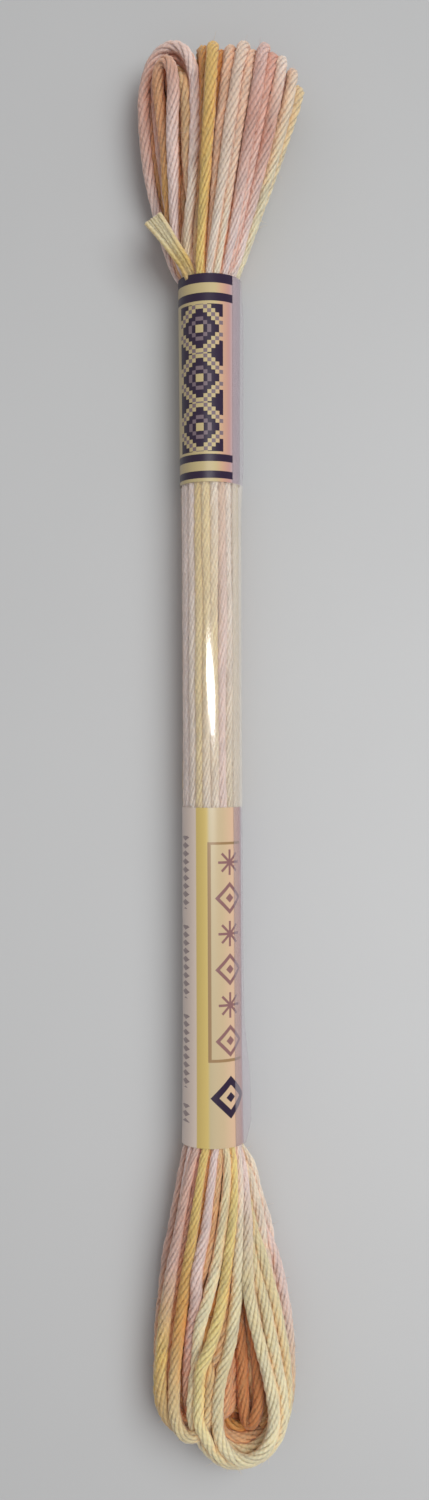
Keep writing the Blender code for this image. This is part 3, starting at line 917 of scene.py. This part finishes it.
class Field:
    """A shader value that can be written as a formula of other values."""

    def __init__(self, tree, output):
        self.tree = tree
        self.output = output

    def node(self, operation, *values):
        """The result of a math node on this value and the others."""
        made = self.tree.nodes.new("ShaderNodeMath")
        made.operation = operation
        for socket, value in zip(made.inputs, (self, *values)):
            plug(self.tree, socket, value)
        return Field(self.tree, made.outputs[0])

    def between(self, low, high):
        return self.above(low) * self.below(high)

    __add__ = partialmethod(node, "ADD")
    __sub__ = partialmethod(node, "SUBTRACT")
    __mul__ = partialmethod(node, "MULTIPLY")
    __truediv__ = partialmethod(node, "DIVIDE")
    __abs__ = partialmethod(node, "ABSOLUTE")
    floor = partialmethod(node, "FLOOR")
    sine = partialmethod(node, "SINE")
    wrapped = partialmethod(node, "FLOORED_MODULO")
    below = partialmethod(node, "LESS_THAN")
    above = partialmethod(node, "GREATER_THAN")
    or_else = partialmethod(node, "MAXIMUM")


def any_of(fields):
    """1 where one of the fields is 1."""
    return reduce(Field.or_else, fields)


def plug(tree, socket, value):
    """Set a socket to a field, another socket, a colour or a number."""
    if isinstance(value, Field):
        value = value.output
    if isinstance(value, bpy.types.NodeSocket):
        tree.links.new(value, socket)
    elif isinstance(value, tuple):
        socket.default_value = (*value, 1)
    else:
        socket.default_value = value


def set_sockets(node, values):
    """Set a node's sockets by name."""
    for name, value in values.items():
        node.inputs[name].default_value = value


def new_material(name):
    """A material with its node tree and its Principled shader."""
    made = bpy.data.materials.new(name)
    made.use_nodes = True
    return made, made.node_tree, made.node_tree.nodes["Principled BSDF"]


def blend(tree, share, below, above, kind="MIX"):
    """A colour between two colours, or one multiplied by the other."""
    mix = tree.nodes.new("ShaderNodeMix")
    mix.data_type = "RGBA"
    mix.blend_type = kind
    plug(tree, mix.inputs["Factor"], share)
    plug(tree, mix.inputs["A"], below)
    plug(tree, mix.inputs["B"], above)
    return mix.outputs["Result"]


def split_fields(tree, output):
    """The first two coordinates of a vector output as fields."""
    split = tree.nodes.new("ShaderNodeSeparateXYZ")
    tree.links.new(output, split.inputs[0])
    return Field(tree, split.outputs["X"]), Field(tree, split.outputs["Y"])


def uv_fields(tree, name):
    """The two coordinates of a UV map."""
    uv = tree.nodes.new("ShaderNodeUVMap")
    uv.uv_map = name
    return split_fields(tree, uv.outputs["UV"])


def object_fields(tree):
    """The object's own x and y, in metres."""
    return split_fields(tree, tree.nodes.new("ShaderNodeTexCoord").outputs["Object"])


def noise_field(tree, scale, detail=2.0, stretch=(1, 1, 1)):
    """Noise of 0 to 1 in the object's own coordinates."""
    place = tree.nodes.new("ShaderNodeTexCoord")
    mapping = tree.nodes.new("ShaderNodeMapping")
    noise = tree.nodes.new("ShaderNodeTexNoise")
    set_sockets(mapping, {"Scale": stretch})
    set_sockets(noise, {"Scale": scale, "Detail": detail})
    tree.links.new(place.outputs["Object"], mapping.inputs["Vector"])
    tree.links.new(mapping.outputs["Vector"], noise.inputs["Vector"])
    return Field(tree, noise.outputs["Fac"])


def add_bump(tree, shader, height, strength, distance):
    """Relief on a shader from a height field."""
    bump = tree.nodes.new("ShaderNodeBump")
    set_sockets(bump, {"Strength": strength, "Distance": distance})
    plug(tree, bump.inputs["Height"], height)
    plug(tree, shader.inputs["Normal"], bump.outputs["Normal"])


def floss_material():
    """Mercerised cotton: the dye with painted shade in the grooves of each ply's own twist, and a soft
    sheen.
    """
    made, tree, shader = new_material("floss_cotton_look")
    dye = tree.nodes.new("ShaderNodeAttribute")
    dye.attribute_name = "dye"
    around, along = uv_fields(tree, "thread")
    twist = ((along * (1 / PLY_TWIST_PITCH) + around) * (2 * math.pi * PLY_YARNS)).sine()
    # painted shade: the colour darkens in the grooves of the ply twist; the noise is a random tone
    shade = (twist * 0.05 + 0.97) * (noise_field(tree, scale=900.0) * 0.14 + 0.93)
    plug(tree, shader.inputs["Base Color"], blend(tree, 1.0, dye.outputs["Color"], shade, "MULTIPLY"))
    add_bump(tree, shader, twist, strength=0.35, distance=0.00006)
    set_sockets(shader, {
        "Roughness": 0.6,
        "Specular IOR Level": 0.25,
        "Sheen Weight": 0.25,
        "Sheen Roughness": 0.4,
        "Subsurface Weight": 0.6,
        "Subsurface Radius": (1.0, 0.78, 0.62),
        "Subsurface Scale": 0.0015,
    })
    return made


def film_shader(name, alpha=1.0, waviness=0.25):
    """A glossy film with faint lengthwise waves, whose colour is still to be plugged in."""
    made, tree, shader = new_material(name)
    waves = noise_field(tree, scale=260.0, detail=1.0, stretch=(1, 0.12, 1))
    add_bump(tree, shader, waves, strength=waviness, distance=0.0002)
    set_sockets(shader, {"Roughness": 0.3, "Specular IOR Level": 0.6, "IOR": 1.5, "Alpha": alpha})
    return made, tree, shader


def ground(tree, u, stops):
    """Colour bands around the film from a table of places and colours."""
    ramp = tree.nodes.new("ShaderNodeValToRGB")
    plug(tree, ramp.inputs[0], (u + GROUND_HALF) * (0.5 / GROUND_HALF))
    bands = ramp.color_ramp.elements
    while len(bands) < len(stops):
        bands.new(0.5)
    for band, (place, colour) in zip(bands, stops):
        band.position = (place + GROUND_HALF) * 0.5 / GROUND_HALF
        band.color = (*colour, 1)
    return ramp.outputs["Color"]


def stitched(value):
    """A coordinate rounded to the middles of cross-stitch cells."""
    return (value * (1 / STITCH)).floor() * STITCH + STITCH / 2


def upper_print_material():
    """Double rules at both ends and a column of stitched lozenges between them."""
    made, tree, shader = film_shader("upper_print_look")
    u, v = uv_fields(tree, "film")
    rules = any_of(v.between(*rule) for rule in UPPER_RULES)
    across = abs(stitched(u - COLUMN_MIDDLE))
    up = abs(stitched((v - COLUMN_ZONE[0]).wrapped(COLUMN_PITCH) - COLUMN_PITCH / 2))
    reach = across + up
    column = across.below(COLUMN_HALF)
    ring = reach.between(*LOZENGE_RING)
    border = reach.between(*LOZENGE_BORDER) * column
    corner = reach.above(CORNER_START) * column
    lozenge = reach.below(LOZENGE_REACH) - ring - reach.below(LOZENGE_EYE)
    zone = v.between(*COLUMN_ZONE)
    grey = ring.or_else(border) * zone
    navy = (lozenge.or_else(corner) * zone).or_else(rules)
    inked = u.below(UPPER_INK_END)
    colour = blend(tree, grey * inked, ground(tree, u, UPPER_GROUND), GREY_INK)
    plug(tree, shader.inputs["Base Color"], blend(tree, navy * inked, colour, NAVY))
    return made


def border_lines(u, v):
    """The border's long side and its two ends."""
    ends = any_of(v.between(*end) for end in BORDER_ENDS) * u.between(*BORDER_ACROSS)
    return (u.between(*BORDER_SIDE) * v.between(*BORDER_ALONG)).or_else(ends)


def motifs(across, v):
    """Eight-armed stars and small lozenges by turns."""
    up = abs((v - MOTIF_START).wrapped(MOTIF_PITCH) - MOTIF_PITCH / 2)
    odd = ((v - MOTIF_START) * (1 / MOTIF_PITCH)).floor().wrapped(2.0)
    arms = any_of((across.below(ARM_HALF), up.below(ARM_HALF), abs(across - up).below(DIAGONAL_ARM_HALF)))
    star = arms * (across * across + up * up).below(STAR_RADIUS_SQUARED)
    reach = across + up
    lozenge = abs(reach - SMALL_LOZENGE).below(SMALL_LOZENGE_LINE).or_else(reach.below(SMALL_LOZENGE_EYE))
    return (star * odd).or_else(lozenge * (odd * -1 + 1)) * v.between(*MOTIF_ZONE)


def diamonds(u, v):
    """A row of tiny diamonds in groups."""
    across = abs(u - DIAMONDS_AT) * DIAMOND_SLOPES[0]
    up = abs(v.wrapped(DIAMOND_PITCH) - DIAMOND_PITCH / 2) * DIAMOND_SLOPES[1]
    groups = (v - DIAMOND_GROUP_START).wrapped(DIAMOND_GROUP_PITCH).below(DIAMOND_GROUP_LENGTH)
    return (across + up).below(1.0) * groups * v.between(*DIAMOND_ZONE)


def lower_print_material():
    """A line border round stars and lozenges, one navy lozenge below it, and a row of tiny diamonds."""
    made, tree, shader = film_shader("lower_print_look")
    u, v = uv_fields(tree, "film")
    across = abs(u - MOTIF_MIDDLE)
    reach = across + abs(v - BIG_LOZENGE_AT)
    big_lozenge = reach.between(*BIG_LOZENGE).or_else(reach.below(BIG_LOZENGE_EYE))
    colour = blend(tree, border_lines(u, v), ground(tree, u, LOWER_GROUND), OLIVE_INK)
    colour = blend(tree, motifs(across, v), colour, MAUVE_INK)
    colour = blend(tree, diamonds(u, v), colour, FAINT_INK)
    plug(tree, shader.inputs["Base Color"], blend(tree, big_lozenge, colour, NAVY))
    return made


def edge_material():
    """The film's free edge: a thin haze, lilac beside the prints and pale beside the window."""
    made, tree, shader = film_shader("film_edge_look", alpha=0.22)
    _, y = object_fields(tree)
    beside_window = y.between(LOWER_PRINT[1] * MM, UPPER_PRINT[0] * MM)
    plug(tree, shader.inputs["Base Color"], blend(tree, beside_window, LILAC, HAZE))
    return made


def clear_film_material():
    """Clear film, a little hazy."""
    made, tree, shader = film_shader("clear_film_look", alpha=0.12, waviness=0.1)
    plug(tree, shader.inputs["Base Color"], CLEAR)
    set_sockets(shader, {"Specular IOR Level": 1.0, "IOR": 1.9, "Roughness": 0.08})
    return made


def table_material():
    """A pale matt table that darkens gently away from its lit middle."""
    made, tree, shader = new_material("table_look")
    x, y = object_fields(tree)
    x = x - LIT_MIDDLE[0]
    y = y - LIT_MIDDLE[1]
    square = x * x + y * y
    far = (square * FALLOFF) / (square * FALLOFF_LIMIT + 1.0)
    share = far + noise_field(tree, scale=40.0) * TABLE_GRAIN
    plug(tree, shader.inputs["Base Color"], blend(tree, share, TABLE_LIT, TABLE_FAR))
    set_sockets(shader, {"Roughness": 0.85})
    return made


def make_camera():
    """Straight above the skein, close to it."""
    data = bpy.data.cameras.new("camera")
    camera = add_object("camera", data)
    camera.location = [c * MM for c in CAMERA_PLACE]
    camera.rotation_euler = (0, 0, math.radians(CAMERA_TURN_DEG))
    data.sensor_width = CAMERA_SENSOR
    data.lens = CAMERA_LENS
    data.clip_start = CAMERA_NEAR
    bpy.context.scene.camera = camera


def add_lamp(lamp):
    """A soft light aimed at the middle of the table."""
    data = bpy.data.lights.new(lamp.name, "AREA")
    data.shape = lamp.shape
    data.size, data.size_y = lamp.size
    data.energy = lamp.power
    data.color = lamp.colour
    light = add_object(lamp.name, data)
    light.location = lamp.place
    light.rotation_euler = (Vector() - Vector(lamp.place)).to_track_quat("-Z", "Y").to_euler()
    light.rotation_euler.z += math.radians(lamp.turn_deg)
    return light


def make_stage():
    """Pale table and soft light from the upper right, with a small lamp above for the film's shine."""
    bpy.ops.mesh.primitive_plane_add(size=TABLE_SIZE)
    table = bpy.context.object
    table.name = "table"
    table.data.materials.append(table_material())
    add_lamp(KEY).visible_glossy = False
    add_lamp(SHINE).visible_diffuse = False
    world = bpy.data.worlds.new("room")
    world.use_nodes = True
    set_sockets(world.node_tree.nodes["Background"], {"Color": ROOM_COLOUR, "Strength": ROOM_STRENGTH})
    bpy.context.scene.world = world
    bpy.context.scene.view_settings.view_transform = "Standard"


def make_sleeve():
    """The film: a clear window between two prints, and the free edge."""
    return (
        film_tube("sleeve_window", (LOWER_PRINT[1], UPPER_PRINT[0]), clear_film_material(), rows=40),
        film_tube("sleeve_upper_print", UPPER_PRINT, upper_print_material(), rows=30),
        film_tube("sleeve_lower_print", LOWER_PRINT, lower_print_material(), rows=50),
        film_edge("sleeve_edge", edge_material()),
    )


def dress(pieces, node):
    """Put pieces on the part, in place of a node of the frame."""
    for piece in pieces:
        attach(piece, "root")
        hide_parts(node)


def main():
    """Build the camera, the table with its light, and the whole skein."""
    make_camera()
    make_stage()
    floss = floss_material()
    hank = flare(UPPER_TURNS, 1, floss, seed=1) + flare(LOWER_TURNS, -1, floss, seed=2)
    hank += [make_core(floss), make_window_runs(floss, seed=5)]
    dress(hank, "floss_hank")
    dress([make_loose_end(floss, seed=9)], "loose_end")
    dress(make_sleeve(), "sleeve")


main()
